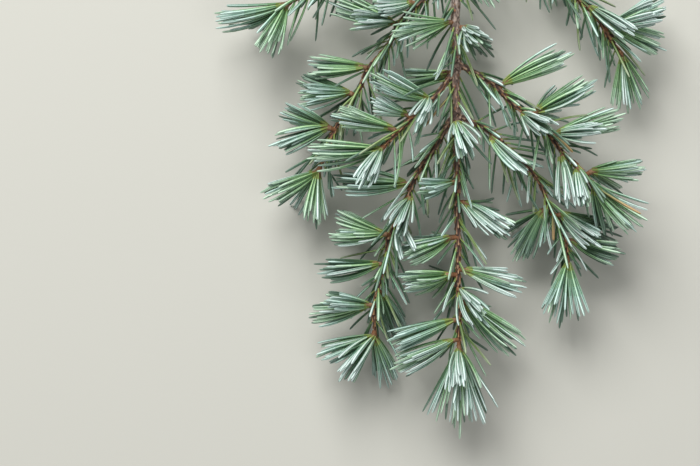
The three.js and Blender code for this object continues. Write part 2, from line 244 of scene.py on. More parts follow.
# Bark: rings and corners of a limb's skin, and the leaf cushions that run down it in a spiral
RING_STEP = 0.26 * MM
STEM_CORNERS = 40
LIMB_CORNERS = 30
CUSHION_PITCH = 0.85 * MM
CUSHION_LENGTH = 4.6 * MM
CUSHION_STEP = 0.35 * MM
CUSHION_HALF_WIDTH = math.radians(30)
CUSHION_RISE = 1.5
FLAKE_SIZE = 0.9 * MM
FLAKE_STRETCH = 2.6
CRACK_SHARPNESS = 3.2
CRACK_FLOOR = 0.15
PLATE_SHARE = 0.65
FINE_SHARE = 0.5
FINE_FLAKES = 3
CUSHION_FLAKES = 0.25
CUSHION_GAIN = 1.6
RELIEF_MIDDLE = 0.45
COLLAR_SWELL = 0.9 * MM
SPUR_SWELL = 0.5 * MM
COLLAR_LENGTH = 2.4 * MM
SPUR_COLLAR_LENGTH = 1.3 * MM
LIMB_AGE = 0.5
STEM_AGE_BEND = 1.3
MOTTLE_SIZE = 0.5 * MM
MOTTLE_SHARE = 0.4
BARK_GRAIN = 0.3 * MM
RING_WIDTH = 2.2 * MM
WAX_GRAIN = 0.2 * MM
FLOOR_GRAIN = 2 * MM

# Dry scales left on the bark where older needles fell, fewest on the old wood
SCALE_PITCH = 0.55 * MM
SCALE_GROWN = (0.08, 0.8)
SCALE_TILT = (12, 50)
SCALE_TURN_SPREAD = 0.4
SCALE_SINK = 0.9

# A scale's outline and section at unit length
SCALE_FOOT_WIDTH = 0.35
SCALE_TIP_WIDTH = 0.15
SCALE_POINT = 1.8
SCALE_CUP = 0.5
SCALE_THICKNESS = 0.12
SCALE_LENGTH = (0.8 * MM, 1.9 * MM)
SCALE_WIDTH = (0.35 * MM, 0.75 * MM)

# One straight needle of unit size: how wide it is on its way to the tip, and the zone that starts there
NEEDLE_PROFILE = [
    (0.00, 0.50, "root"),
    (0.07, 0.64, "root"),
    (0.15, 0.78, "lower"),
    (0.30, 0.93, "middle"),
    (0.46, 1.00, "upper"),
    (0.64, 1.00, "end"),
    (0.82, 0.97, "tip"),
    (0.93, 0.86, "tip"),
    (0.975, 0.66, "tip"),
    (1.00, 0.32, "tip"),
]
ZONE_SHARES = {"lower": 0.1, "middle": 0.4, "upper": 0.7, "end": 1.0}
EDGE_SHARE = 0.23

# One spur shoot of unit length: rings of old bud scales, below the crown that the needles leave
SPUR_PROFILE = [
    (0.00, 0.80, "bark"),
    (0.34, 0.84, "bark"),
    (0.36, 0.96, "scale"),
    (0.44, 0.80, "groove"),
    (0.46, 0.98, "scale"),
    (0.54, 0.82, "groove"),
    (0.56, 1.02, "scale"),
    (0.65, 0.86, "groove"),
    (0.67, 1.08, "scale"),
    (0.77, 0.92, "groove"),
    (0.79, 1.14, "scale"),
    (0.90, 1.00, "crown"),
    (0.97, 0.72, "crown"),
    (1.00, 0.30, "crown"),
]
SPUR_CORNERS = 14
SPUR_WIDTH_RANGE = (0.9, 1.12)

# The bud scales round a crown: how far under it they start and from its axis, and how they lean and flare
BUD_SCALES = 15
BUD_TURN_SPREAD = 0.2
BUD_UNDER = (0.9 * MM, 2.2 * MM)
BUD_OUT = 0.85 * MM
BUD_TILT = (4, 28)
BUD_FLARE = (-0.1, 0.5)
BUD_LENGTH = (1.0 * MM, 1.7 * MM)
BUD_WIDTH = (0.5 * MM, 0.95 * MM)

# By tint: how far a needle's side is on the way from its pale band to its green edge, how much of the
# tint shows above the root, and how much frost at the tip
SIDE_SHARE = {"frosted": 0.25, "blue": 0.4, "green": 0.5, "shaded": 0.5, "young": 0.4, "dry": 0.5}
LOWER_SHARE = {"frosted": 0.5, "blue": 0.2, "green": 0.15, "shaded": 0.6, "young": 0.5, "dry": 0.5}
TIP_SHARE = {"frosted": 0.4, "blue": 0.34, "green": 0.34, "shaded": 0.12, "young": 0.2, "dry": 0.0}
WIDTH_RANGE = (0.88, 1.1)
NEEDLE_SMOOTH_ANGLE = 50
BARK_SMOOTH_ANGLE = 60
SCALE_SMOOTH_ANGLE = 40

# Tints by the way that needles face: weights of frosted, blue, green, shaded, young and dry needles. The
# darker, greener shaded tint is painted shade, dealt most to low tufts, to needles under a tuft or a limb,
# and to the limb at the lower right, which hangs further back.
TINTS = ["frosted", "blue", "green", "shaded", "young", "dry"]
# Tufts that face up take mostly the frosted tint, whose pale wax stands partly for painted light.
FACING_WEIGHTS = [9, 1, 0, 0, 0, 0]
LEVEL_WEIGHTS = [2.4, 4, 5, 0.3, 0, 0.03]
LOW_WEIGHTS = [0, 2, 3, 5, 0, 0.05]
UNDER_WEIGHTS = [0, 2, 4, 3, 0, 0]
LIMB_WEIGHTS = {"limb_right_lower": [0, 1, 3, 5, 0, 0.05]}
UPPER_SHOOT_WEIGHTS = [0.8, 2.5, 3, 4, 2, 0.15]
UNDER_SHOOT_WEIGHTS = [0, 2, 1, 7, 0.3, 0.1]
FACING_LIFT = 30
LOW_LIFT = -18
UNDER_SIDE = -0.3
OWN_TINT = 0.6

# Single needles along the wood, which lean along it and hang a little, as the spray did while it grew
SHOOT_START = 0.04
SHOOT_PITCH = 0.58 * MM
SHOOT_GROWN = 0.9
TOP_SIDE = 0.35
TOP_GROWN = 0.45
OLD_GROWN = 0.4
OLD_WOOD = 0.5
SHOOT_LENGTH = (8 * MM, 23 * MM)
SHOOT_TILT = (20, 65)
SHOOT_BOW = (0.05, 0.04)
SHOOT_SINK = 0.8
SHOOT_FREE_FROM = 0.12
SHOOT_BOW_AT = 0.45
UNDER_SHOOT_SIDE = -0.2
SHOOT_HANG = (0.0, 0.6)
SHOOT_WIDTH = 1.0
SHOOT_ROOM = 0.35 * MM
HANGING = np.array([0.0, -1.0, 0.0])

# The view: the middle of the picture from the cut's centre, and the level where the picture is this wide
VIEW_OFFSET = (-42 * MM, -137.2 * MM)
VIEW_LEVEL = 25 * MM
LENS_MM = 100
SENSOR_MM = 36
VIEW_WIDTH = 280 * MM

# The stage, in metres: lights by where they stand from the middle of the picture
FLOOR_SIZE = 8
KEY_PLACE = (-0.35, 1.0, 1.15)
KEY_SIZE = 1.1
FILL_PLACE = (0.5, -0.5, 1.3)
FILL_SIZE = 1.0


def linear(code):
    """An sRGB hex value as linear red, green and blue."""
    channels = [int(code[i:i + 2], 16) / 255 for i in (1, 3, 5)]
    return tuple(c / 12.92 if c <= 0.04045 else ((c + 0.055) / 1.055) ** 2.4 for c in channels)


def blend_colours(first, second, share):
    """A colour part of the way from the first to the second."""
    return tuple(a + (b - a) * share for a, b in zip(first, second))


def unit(vectors):
    """Vectors at length one."""
    return vectors / np.linalg.norm(vectors, axis=-1, keepdims=True)


def between(pair, share):
    """The value part of the way from a pair's first to its second."""
    return pair[0] + (pair[1] - pair[0]) * share


class Limb:
    """A tapering limb, traced from its root as its heading and lift change and it sways from side to side."""

    def __init__(self, name, plan, stem=None):
        self.name = name
        self.plan = plan
        self.length = plan["length"]
        self.away = direction(plan["heading"][0], plan["lift"][0])
        self.source = CUT_CENTRE
        root = CUT_CENTRE
        if stem is not None:
            self.source, tangent = stem.station(plan["at"])
            cosine = self.away @ tangent
            reach = stem.radius(plan["at"]) + CLEARANCE + self.radius(0) * abs(cosine)
            root = self.source + self.away * reach / math.sqrt(1 - cosine * cosine)
        self.steps = round(self.length / LIMB_STEP)
        self.step = self.length / self.steps
        self.points = [root]
        self.tangents = [self.away]
        for i in range(self.steps):
            middle = (i + 0.5) / self.steps
            sway = plan["kink"] * math.sin(2 * math.pi * middle * self.length / KINK_LENGTH)
            heading, lift = between(plan["heading"], middle) + sway, between(plan["lift"], middle)
            self.points.append(self.points[-1] + self.step * direction(heading, lift))
            along = (i + 1) / self.steps
            self.tangents.append(direction(between(plan["heading"], along), between(plan["lift"], along)))

    def radius(self, along):
        """The limb's radius at a distance from its root."""
        return between(self.plan["radius"], along / self.length)

    def station(self, along):
        """The point on the centre line at a distance from the root, and the way that the limb runs there."""
        place = min(along / self.step, self.steps - JUST_SHORT)
        i = int(place)
        share = place - i
        point = self.points[i] + (self.points[i + 1] - self.points[i]) * share
        return point, unit(self.tangents[i] + (self.tangents[i + 1] - self.tangents[i]) * share)


def trace_limbs():
    """The stem and its side limbs by name."""
    limbs = {}
    for name, plan in LIMB_PLANS.items():
        limbs[name] = Limb(name, plan, limbs.get("main_stem"))
    return limbs


def place_spurs(limbs):
    """The spur shoots of every mass, from the limb's centre line by the fork to the knob under each tuft."""
    spurs = []
    for carrier, masses in MASS_PLANS.items():
        limb = limbs[carrier]
        for order, plan in enumerate(masses):
            point, tangent = limb.station(plan["along"])
            at_tip = plan["along"] >= limb.length
            away = direction(*plan["foot"]) if plan["foot"] else sum(one["axis"] for one in plan["tufts"])
            away = tangent if at_tip else unit(away - tangent * (away @ tangent))
            root = point + away * ((0 if at_tip else limb.radius(plan["along"])) + CLEARANCE)
            forked = at_tip or len(plan["tufts"]) > 1
            fork = root + away * (FORKED_FOOT_LENGTH if forked else FOOT_LENGTH)
            for one in plan["tufts"]:
                knob = fork + one["axis"] * SPUR_LENGTH
                owner = mass_name(carrier, order)
                spurs.append({"tuft": one, "limb": carrier, "owner": owner, "along": plan["along"],
                              "away": away, "start": point, "fork": fork, "knob": knob})
    return spurs


def mass_name(carrier, order):
    """The name of a limb's foliage mass in the model."""
    return f"{carrier.replace('limb_', '').replace('_stem', '')}_needles_{order + 1}"


class Bars:
    """Straight bars that are already in place, each with its owner, so that nothing new runs through them."""

    def __init__(self):
        self.starts, self.ends, self.radii, self.owners = [], [], [], []

    def add(self, starts, ends, radius, owner):
        """Keeps some more bars of one owner."""
        self.starts.extend(starts)
        self.ends.extend(ends)
        self.radii.extend([radius] * len(starts))
        self.owners.extend([owner] * len(starts))

    def are_clear(self, starts, ends, radius, owner):
        """Whether each of the given bars passes all those of other owners."""
        others = np.array([name != owner for name in self.owners])
        first, last = np.array(self.starts)[others], np.array(self.ends)[others]
        nearest = np.array(self.radii)[others] + radius
        return (bar_gaps(starts, ends, first, last) > nearest).all(axis=1)


def bar_gaps(starts, ends, first, last):
    """The shortest distance between the centre lines of each bar and each of some others."""
    u, v = (ends - starts)[:, None], (last - first)[None]
    w = starts[:, None] - first[None]
    uu, uv, vv, uw, vw = [(a * b).sum(axis=-1) for a, b in ((u, u), (u, v), (v, v), (u, w), (v, w))]
    spread = np.maximum(uu * vv - uv * uv, NEARLY_PARALLEL)
    s = np.clip((uv * vw - vv * uw) / spread, 0, 1)
    t = np.clip((uv * s + vw) / vv, 0, 1)
    s = np.clip((uv * t - uw) / uu, 0, 1)
    return np.linalg.norm(w + u * s[..., None] - v * t[..., None], axis=-1)


def across(axis):
    """The level side and the top of an axis, square to it."""
    side = unit(np.cross(UP, axis))
    return side, np.cross(axis, side)


def way_out(axis, around):
    """The way out from an axis at an angle round it, counted from its level side."""
    side, top = across(axis)
    return math.cos(around) * side + math.sin(around) * top


def fan_needles(spur, order, count, attempt, draws):
    """Roots and tips of a rosette's needles, no lower than the table, and their ways and angles out of it."""
    axis = spur["tuft"]["axis"]
    side, top = across(axis)
    share = np.sqrt((order + FIRST_RING) / count)
    around = (np.radians(GOLDEN_ANGLE * (order + 1) + RETRY_TURN * attempt) + draws["turn"])[:, None]
    opened = (np.radians(spur["tuft"]["fan"] * share * (1 - RETRY_CLOSE * attempt)) * draws["open"])[:, None]
    out = np.cos(around) * side + np.sin(around) * top
    way = np.cos(opened) * axis + np.sin(opened) * out
    crown = spur["knob"] - axis * KNOB_LENGTH / 4
    roots = crown + (out * ROSETTE_RADIUS - axis * CROWN_DEPTH) * share[:, None]
    tips = roots + way * (draws["length"] * (1 - OUTER_SHORTER * share))[:, None]
    return roots, lay_on_floor(roots, tips), out, opened[:, 0]


def draw_needles(one, count, open_range, chance):
    """How a tuft's needles vary: their lengths, and how far each is turned and opened from its place."""
    lengths = [one["length"] * chance.uniform(*LENGTH_RANGE) for _ in range(count)]
    shares = [chance.uniform(*SHORT_LENGTH) if chance.random() < SHORT_SHARE else 1 for _ in range(count)]
    return {
        "length": np.array(lengths) * np.array(shares),
        "turn": np.array([chance.gauss(0, TURN_SPREAD) for _ in range(count)]),
        "open": np.array([chance.uniform(*open_range) for _ in range(count)]),
    }


def lay_on_floor(roots, tips):
    """Tips under the table's level are laid on it, each with its needle's length kept."""
    way = tips - roots
    reach = np.linalg.norm(way, axis=1)
    under = tips[:, 2] < NEAREST_TO_FLOOR
    drop = np.clip((roots[:, 2] - NEAREST_TO_FLOOR) / reach, -1, 1)
    aside = np.maximum(np.hypot(way[:, 0], way[:, 1]), NEARLY_NOTHING)
    level = reach * np.sqrt(1 - drop * drop) / aside
    laid = np.column_stack([roots[:, 0] + way[:, 0] * level, roots[:, 1] + way[:, 1] * level,
                            np.full(len(roots), NEAREST_TO_FLOOR)])
    return np.where(under[:, None], laid, tips)


class Template:
    """A small shape modelled once along +Z at unit size: its corners, its faces and each face's part."""

    def __init__(self, obj, part_of):
        mesh = obj.data
        self.corners = np.array([vertex.co for vertex in mesh.vertices])
        self.faces = [list(face.vertices) for face in mesh.polygons]
        self.parts = [part_of(face) for face in mesh.polygons]
        bpy.data.objects.remove(obj)
        bpy.data.meshes.remove(mesh)


def zone_at(profile, height):
    """The zone of a profile that holds a height."""
    return [zone for start, _, zone in profile if start <= height][-1]


def extrude_profile(corners, profile, shape_outline):
    """A closed prism that is drawn up from a circle ring by ring, each as wide as the profile says."""
    bpy.ops.object.select_all(action="DESELECT")
    bpy.ops.mesh.primitive_circle_add(vertices=corners, radius=0.5, fill_type="NGON")
    bpy.ops.object.mode_set(mode="EDIT")
    shape_outline()
    width = profile[0][1]
    bpy.ops.transform.resize(value=(width, width, 1), center_override=(0, 0, 0))
    for (start, old, _), (end, new, _) in zip(profile, profile[1:]):
        bpy.ops.mesh.extrude_region_move(TRANSFORM_OT_translate={"value": (0, 0, end - start)})
        bpy.ops.transform.resize(value=(new / old, new / old, 1), center_override=(0, 0, end))
    bpy.ops.mesh.select_all(action="SELECT")
    bpy.ops.mesh.normals_make_consistent(inside=False)
    bpy.ops.object.mode_set(mode="OBJECT")
    return bpy.context.object


def needle_template():
    """A needle of four flat sides with bevelled edges between them, blunt at its tip."""

    def bevel_square():
        bpy.ops.transform.rotate(value=math.pi / 4, orient_axis="Z")
        bpy.ops.transform.resize(value=(math.sqrt(2), math.sqrt(2), 1))
        bpy.ops.mesh.bevel(offset=EDGE_SHARE, affect="VERTICES")

    def part_of(face):
        x, y = abs(face.normal.x), abs(face.normal.y)
        strip = "edge" if min(x, y) > max(x, y) / 2 else "band" if y > x else "side"
        return strip, zone_at(NEEDLE_PROFILE, face.center.z)

    return Template(extrude_profile(4, NEEDLE_PROFILE, bevel_square), part_of)


def spur_template():
    """A stubby shoot with rings of old bud scales."""
    obj = extrude_profile(SPUR_CORNERS, SPUR_PROFILE, lambda: None)
    return Template(obj, lambda face: zone_at(SPUR_PROFILE, face.center.z))


def scale_template():
    """A pointed bud scale, thin and a little cupped."""
    bpy.ops.object.select_all(action="DESELECT")
    bpy.ops.mesh.primitive_grid_add(x_subdivisions=2, y_subdivisions=4, size=1)
    obj = bpy.context.object
    for vertex in obj.data.vertices:
        x, y = vertex.co.x, vertex.co.y + 0.5
        spread = math.sqrt(max(0.0, 1 - y ** SCALE_POINT))
        width = between((SCALE_FOOT_WIDTH, 1), spread) if y < 1 else SCALE_TIP_WIDTH
        vertex.co = (x * width, -SCALE_CUP * x * x * spread, y)
    solid = obj.modifiers.new("thickness", "SOLIDIFY")
    solid.thickness = SCALE_THICKNESS
    bpy.ops.object.modifier_apply(modifier=solid.name)
    return Template(obj, lambda face: "scale")


def bend_copies(template, bends, tops, widths, depths, floor=0.0):
    """Copies of a template bent along curves, each given by its start, its turning point and its end."""
    along = np.clip(template.corners[:, 2], 0, 1)[None, :, None]
    start, turn, end = [bends[:, i, None] for i in range(3)]
    centre = (1 - along) ** 2 * start + 2 * along * (1 - along) * turn + along ** 2 * end
    centre[..., 2] = np.maximum(centre[..., 2], floor)
    way = unit((1 - along) * (turn - start) + along * (end - turn))
    side = unit(np.cross(tops[:, None], way))
    top = np.cross(way, side)
    wide = template.corners[None, :, 0, None] * widths[:, None, None]
    deep = template.corners[None, :, 1, None] * depths[:, None, None]
    return centre + side * wide + top * deep


def join_copies(name, template, corners, slot_of, materials):
    """One mesh of all the copies. slot_of gives the material slots of all copies for a part."""
    count, size = corners.shape[:2]
    faces, slots = [], []
    for face, part in zip(template.faces, template.parts):
        faces.extend((np.array(face)[None] + size * np.arange(count)[:, None]).tolist())
        slots.extend(slot_of(part))
    mesh = bpy.data.meshes.new(name)
    mesh.from_pydata(corners.reshape(-1, 3).tolist(), [], faces)
    for material in materials:
        mesh.materials.append(material)
    mesh.polygons.foreach_set("material_index", slots)
    obj = bpy.data.objects.new(name, mesh)
    bpy.context.scene.collection.objects.link(obj)
    return obj


def finish_piece(obj, nodes, smooth_angle):
    """Smooths a piece up to an angle, lets it ride on the spray and stand for its nodes."""
    bpy.ops.object.select_all(action="DESELECT")
    bpy.context.view_layer.objects.active = obj
    obj.select_set(True)
    bpy.ops.object.shade_smooth_by_angle(angle=math.radians(smooth_angle))
    obj.select_set(False)
    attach(obj, "root")
    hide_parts(*nodes)


def add_node(tree, kind, settings=None, links=None):
    """A node with its settings and links. A socket's name or number sets it, and any other name an option."""
    node = tree.nodes.new(kind)
    for name, value in (settings or {}).items():
        if isinstance(name, int) or name in node.inputs:
            node.inputs[name].default_value = value
        else:
            setattr(node, name, value)
    for name, socket in (links or {}).items():
        tree.links.new(socket, node.inputs[name])
    return node


def set_ramp(node, stops):
    """Gives a colour ramp its stops, each a place and a linear colour."""
    ramp = node.color_ramp
    while len(ramp.elements) < len(stops):
        ramp.elements.new(0.5)
    for element, (place, colour) in zip(ramp.elements, stops):
        element.position = place
        element.color = (*colour, 1)


def new_material(name):
    """An empty node material, and its tree."""
    material = bpy.data.materials.new(name)
    material.use_nodes = True
    material.node_tree.nodes.clear()
    return material, material.node_tree


def end_material(tree, shader):
    """Joins a shader to the material's output."""
    add_node(tree, "ShaderNodeOutputMaterial", links={"Surface": shader.outputs["BSDF"]})


def plain_finish(name, colour, roughness, grain=BARK_GRAIN, bloom=0):
    """A plant skin in one plain colour with a fine grain, and the soft bloom of wax where it has any."""
    material, tree = new_material(name)
    place = add_node(tree, "ShaderNodeTexCoord")
    specks = add_node(tree, "ShaderNodeTexNoise", {"Scale": 1 / grain, "Detail": 2.0},
                      {"Vector": place.outputs["Object"]})
    relief = add_node(tree, "ShaderNodeBump", {"Strength": 0.25, "Distance": 0.05 * MM},
                      {"Height": specks.outputs["Fac"]})
    shader = add_node(tree, "ShaderNodeBsdfPrincipled",
                      {"Base Color": (*colour, 1), "Roughness": roughness, "IOR": 1.45,
                       "Sheen Weight": bloom, "Sheen Roughness": 0.5},
                      {"Normal": relief.outputs["Normal"]})
    end_material(tree, shader)
    return material


def bark_finish(name, settings):
    """Cedar bark: tan leaf cushions over dark grooves on young wood, grey-brown flakes on older wood. The
    colour follows the relief, so grooves and cracks are dark partly as painted shade.
    """
    material, tree = new_material(name)
    place = add_node(tree, "ShaderNodeTexCoord")
    relief = add_node(tree, "ShaderNodeAttribute", {"attribute_name": "relief"})
    age = add_node(tree, "ShaderNodeAttribute", {"attribute_name": "age"})
    mottle = add_node(tree, "ShaderNodeTexNoise", {"Scale": 1 / MOTTLE_SIZE, "Detail": 4.0},
                      {"Vector": place.outputs["Object"]})
    lift = add_node(tree, "ShaderNodeMath", {"operation": "MULTIPLY_ADD", 1: MOTTLE_SHARE},
                    {0: mottle.outputs["Fac"], 2: relief.outputs["Fac"]})
    height = add_node(tree, "ShaderNodeMath", {"operation": "SUBTRACT", 1: MOTTLE_SHARE / 2},
                      {0: lift.outputs["Value"]})
    # Both ramps follow the relief: the low grooves and cracks are darker, partly as painted shade.
    young = add_node(tree, "ShaderNodeValToRGB", links={"Fac": height.outputs["Value"]})
    set_ramp(young, [(0.08, settings.young_groove_and_shade), (0.35, settings.young_bark), (0.8, settings.cushion_tan)])
    old = add_node(tree, "ShaderNodeValToRGB", links={"Fac": height.outputs["Value"]})
    set_ramp(old, [(0.05, settings.old_groove_and_shade), (0.45, settings.old_bark), (0.9, settings.flake_grey)])
    colour = add_node(tree, "ShaderNodeMix", {"data_type": "RGBA"})
    tree.links.new(age.outputs["Fac"], colour.inputs[0])
    tree.links.new(old.outputs["Color"], colour.inputs[6])
    tree.links.new(young.outputs["Color"], colour.inputs[7])
    grain = add_node(tree, "ShaderNodeTexNoise", {"Scale": 1 / BARK_GRAIN, "Detail": 3.0},
                     {"Vector": place.outputs["Object"]})
    bump = add_node(tree, "ShaderNodeBump", {"Strength": 0.5, "Distance": 0.1 * MM},
                    {"Height": grain.outputs["Fac"]})
    shader = add_node(tree, "ShaderNodeBsdfPrincipled", {"Roughness": 0.82, "IOR": 1.5},
                      {"Base Color": colour.outputs[2], "Normal": bump.outputs["Normal"]})
    end_material(tree, shader)
    return material


def wood_finish(name, settings):
    """Fresh cut wood: pale, with narrow darker rings round the pith."""
    material, tree = new_material(name)
    place = add_node(tree, "ShaderNodeTexCoord")
    centred = add_node(tree, "ShaderNodeMapping", {"Location": tuple(-CUT_CENTRE)},
                       {"Vector": place.outputs["Object"]})
    ring_settings = {"wave_type": "RINGS", "rings_direction": "Y", "Scale": 1 / RING_WIDTH, "Distortion": 0.6}
    rings = add_node(tree, "ShaderNodeTexWave", ring_settings, {"Vector": centred.outputs["Vector"]})
    colour = add_node(tree, "ShaderNodeValToRGB", links={"Fac": rings.outputs["Fac"]})
    set_ramp(colour, [(0.2, settings.wood), (0.9, settings.wood_ring)])
    shader = add_node(tree, "ShaderNodeBsdfPrincipled", {"Roughness": 0.7},
                      {"Base Color": colour.outputs["Color"]})
    end_material(tree, shader)
    return material


def smooth_path(points, count):
    """Places evenly spaced on a smooth curve through some points, and the way that it runs there."""
    knots = np.array([2 * points[0] - points[1], *points, 2 * points[-1] - points[-2]])
    place = np.linspace(0, len(points) - 1 - NEARLY_NOTHING, count)
    i = place.astype(int)
    t = (place - i)[:, None]
    a, b, c, d = knots[i], knots[i + 1], knots[i + 2], knots[i + 3]
    path = b + 0.5 * ((c - a) * t + (2 * a - 5 * b + 4 * c - d) * t ** 2 + (3 * b - a - 3 * c + d) * t ** 3)
    return path, unit(np.gradient(path, axis=0))


def cushion_relief(along, around, length):
    """Leaf cushions: ridges in a spiral that rise along the shoot to a blunt end, from 0 to 1."""
    relief = np.zeros_like(along)
    for order in range(math.ceil((length + CUSHION_LENGTH) / CUSHION_PITCH)):
        behind = order * CUSHION_PITCH - along
        rise = np.where(behind > 0, 1 - behind / CUSHION_LENGTH, 1 + behind / CUSHION_STEP)
        turn = (around - math.radians(GOLDEN_ANGLE) * order + math.pi) % (2 * math.pi) - math.pi
        swell = np.cos(np.clip(turn / CUSHION_HALF_WIDTH, -1, 1) * math.pi / 2)
        relief = np.maximum(relief, np.clip(rise, 0, 1) ** CUSHION_RISE * swell)
    return relief


def flake_relief(corners):
    """Plates of older bark between cracks, longer along the stem than round it, from 0 to 1."""
    squeezed = corners / np.array([1, FLAKE_STRETCH, 1]) / FLAKE_SIZE
    coarse = [noise.noise(Vector(corner)) for corner in squeezed]
    fine = [noise.noise(Vector(corner * FINE_FLAKES)) for corner in squeezed]
    plates = np.clip(CRACK_SHARPNESS * np.abs(coarse), 0, 1)
    return np.clip(CRACK_FLOOR + PLATE_SHARE * plates + FINE_SHARE * np.array(fine), 0, 1)


def swellings(limb, limbs, spurs):
    """Where a limb swells at what grows from it: the place, the way out, how far and how long."""
    found = [(spur["along"], spur["away"], SPUR_SWELL, SPUR_COLLAR_LENGTH)
             for spur in spurs if spur["limb"] == limb.name and spur["along"] < limb.length]
    if limb.name == "main_stem":
        found += [(other.plan["at"], other.away, COLLAR_SWELL, COLLAR_LENGTH)
                  for other in limbs.values() if other is not limb]
    return found


def limb_tube(limb, corners):
    """A plain closed tube of unit radius for a limb, one ring to each step of its skin, and its path."""
    tip_foot = limb.points[-1] + limb.tangents[-1] * (CLEARANCE + FORKED_FOOT_LENGTH)
    points = [*limb.points, tip_foot]
    if limb.name != "main_stem":
        points.insert(0, limb.source)
    length = sum(np.linalg.norm(b - a) for a, b in zip(points, points[1:]))
    rings = round(length / RING_STEP)
    bpy.ops.object.select_all(action="DESELECT")
    bpy.ops.mesh.primitive_circle_add(vertices=corners, radius=1, fill_type="NGON")
    bpy.ops.object.mode_set(mode="EDIT")
    bpy.ops.mesh.extrude_repeat(steps=rings - 1, offset=(0, 0, 1))
    bpy.ops.mesh.select_all(action="SELECT")
    bpy.ops.mesh.normals_make_consistent(inside=False)
    bpy.ops.object.mode_set(mode="OBJECT")
    obj = bpy.context.object
    path, ways = smooth_path(points, rings)
    return obj, path, ways, length


def bark_radius(limb, limbs, spurs, along, out):
    """A limb's radius at places along it that face some way out, with its taper and its collars."""
    radius = between(limb.plan["radius"], np.clip(along / limb.length, 0, 1))
    for place, away, swell, reach in swellings(limb, limbs, spurs):
        facing = np.clip(out @ away, 0, 1) ** 2
        radius = radius + swell * facing * np.exp(-((along - place) / reach) ** 2)
    if limb.name != "main_stem":
        radius = radius + COLLAR_SWELL * np.exp(-(along - along.min()) / COLLAR_LENGTH)
    return radius


def bark_relief(limb, along, around, length, skin):
    """How high the bark stands at places on a limb's skin, from 0 to 1, and how young it is there."""
    age = np.clip(along / limb.length, 0, 1)
    age = age ** STEM_AGE_BEND if limb.name == "main_stem" else LIMB_AGE + (1 - LIMB_AGE) * age
    flakes = flake_relief(skin)
    cushions = cushion_relief(along, around, length) * (1 - CUSHION_FLAKES + CUSHION_FLAKES * flakes)
    return flakes + (cushions - flakes) * np.clip(age * CUSHION_GAIN, 0, 1), age


def grow_bark(limb, limbs, spurs, settings):
    """A limb's skin: the tube is bent along the limb and given its taper, collars, cushions and flakes."""
    on_stem = limb.name == "main_stem"
    obj, path, ways, length = limb_tube(limb, STEM_CORNERS if on_stem else LIMB_CORNERS)
    local = np.array([vertex.co for vertex in obj.data.vertices])
    ring = np.round(local[:, 2]).astype(int)
    around = np.arctan2(local[:, 1], local[:, 0])
    sunk = 0 if on_stem else np.linalg.norm(limb.points[0] - limb.source)
    along = ring / ring.max() * length - sunk
    side = unit(np.cross(UP, ways))[ring]
    top = np.cross(ways[ring], side)
    out = np.cos(around)[:, None] * side + np.sin(around)[:, None] * top
    radius = bark_radius(limb, limbs, spurs, along, out)
    relief, age = bark_relief(limb, along, around, length, path[ring] + out * radius[:, None])
    inner = (ring > 0) & (ring < ring.max())
    radius = radius + settings.relief_height * (relief - RELIEF_MIDDLE) * inner
    place = path[ring] + out * radius[:, None]
    if on_stem:
        place[ring == 0, 1] = CUT_CENTRE[1]
    obj.data.vertices.foreach_set("co", place.astype(np.float32).ravel())
    for name, values in (("relief", relief), ("age", age)):
        attribute = obj.data.attributes.new(name, "FLOAT", "POINT")
        attribute.data.foreach_set("value", values.astype(np.float32))
    obj.name = obj.data.name = f"bark_{limb.name}"
    return obj


def tint_needles(spur, outs, chance):
    """A tint for each needle of a tuft, by the limb and by the way that the tuft and the needle face: paler
    up, partly painted light, and darker below, painted shade.
    """
    lift = spur["tuft"]["lift"]
    # Low tufts and the limb at the lower right take more of the darker shaded tint, painted shade; tufts that
    # face up take the frosted tint, partly painted light.
    weights = LOW_WEIGHTS if lift < LOW_LIFT else LIMB_WEIGHTS.get(spur["limb"], LEVEL_WEIGHTS)
    weights = FACING_WEIGHTS if lift > FACING_LIFT else weights
    main = pick_tint(weights[:-1], chance)
    tints = []
    for out in outs:
        # Needles on a tuft's under side take more of the darker shaded tint: painted shade.
        own = pick_tint(UNDER_WEIGHTS if out[2] < UNDER_SIDE else weights, chance)
        tints.append(main if out[2] >= UNDER_SIDE and chance.random() < OWN_TINT else own)
    return tints


def pick_tint(weights, chance):
    """The number of a tint, dealt out by its weight."""
    return chance.choices(range(len(weights)), weights)[0]


def tuft_habit(axis, fan, facing, chance, settings):
    """What the needles of a tuft share: how far they close towards its tip, and the way that they sweep."""
    narrow = np.clip((STRAIGHT_FAN - fan) / (STRAIGHT_FAN - CURLED_FAN), 0, 1)
    curl = settings.curl * (FACING_CURL if facing else narrow)
    sweep = -HANGING * chance.uniform(*SWEEP)
    sweep = sweep + np.array([chance.gauss(0, SWEEP_SPREAD) for _ in range(3)])
    return curl, sweep - axis * (sweep @ axis)


def grow_tuft(spur, bars, chance, settings):
    """The curves, tops, tints and widths of a tuft's needles. One with no free way is skipped."""
    one = spur["tuft"]
    facing = one["lift"] > FACING_LIFT
    carried = FACING_NEEDLES_FOR_ONE if facing else NEEDLES_FOR_ONE
    count = min(round(one["count"] * carried), MOST_NEEDLES)
    draws = draw_needles(one, count, FACING_OPEN_RANGE if facing else OPEN_RANGE, chance)
    habit = tuft_habit(one["axis"], one["fan"], facing, chance, settings)
    bends, tops, outs = [], [], []
    waiting = np.arange(count)
    for attempt in range(TRIES):
        own = {name: values[waiting] for name, values in draws.items()}
        roots, tips, out, opened = fan_needles(spur, waiting, count, attempt, own)
        clear = bars.are_clear(roots, tips, settings.needle_width / 2, spur["owner"])
        for i in np.flatnonzero(clear):
            bend, top = bend_needle(roots[i], tips[i], out[i], opened[i], habit, chance)
            bends.append(bend)
            tops.append(top)
            outs.append(out[i])
        waiting = waiting[~clear]
        if not len(waiting):
            break
    starts, ends = [bend[0] for bend in bends], [bend[2] for bend in bends]
    bars.add(starts, ends, settings.needle_width / 2, spur["owner"])
    widths = [FACING_WIDTH if facing else 1.0] * len(bends)
    return bends, tops, tint_needles(spur, outs, chance), widths


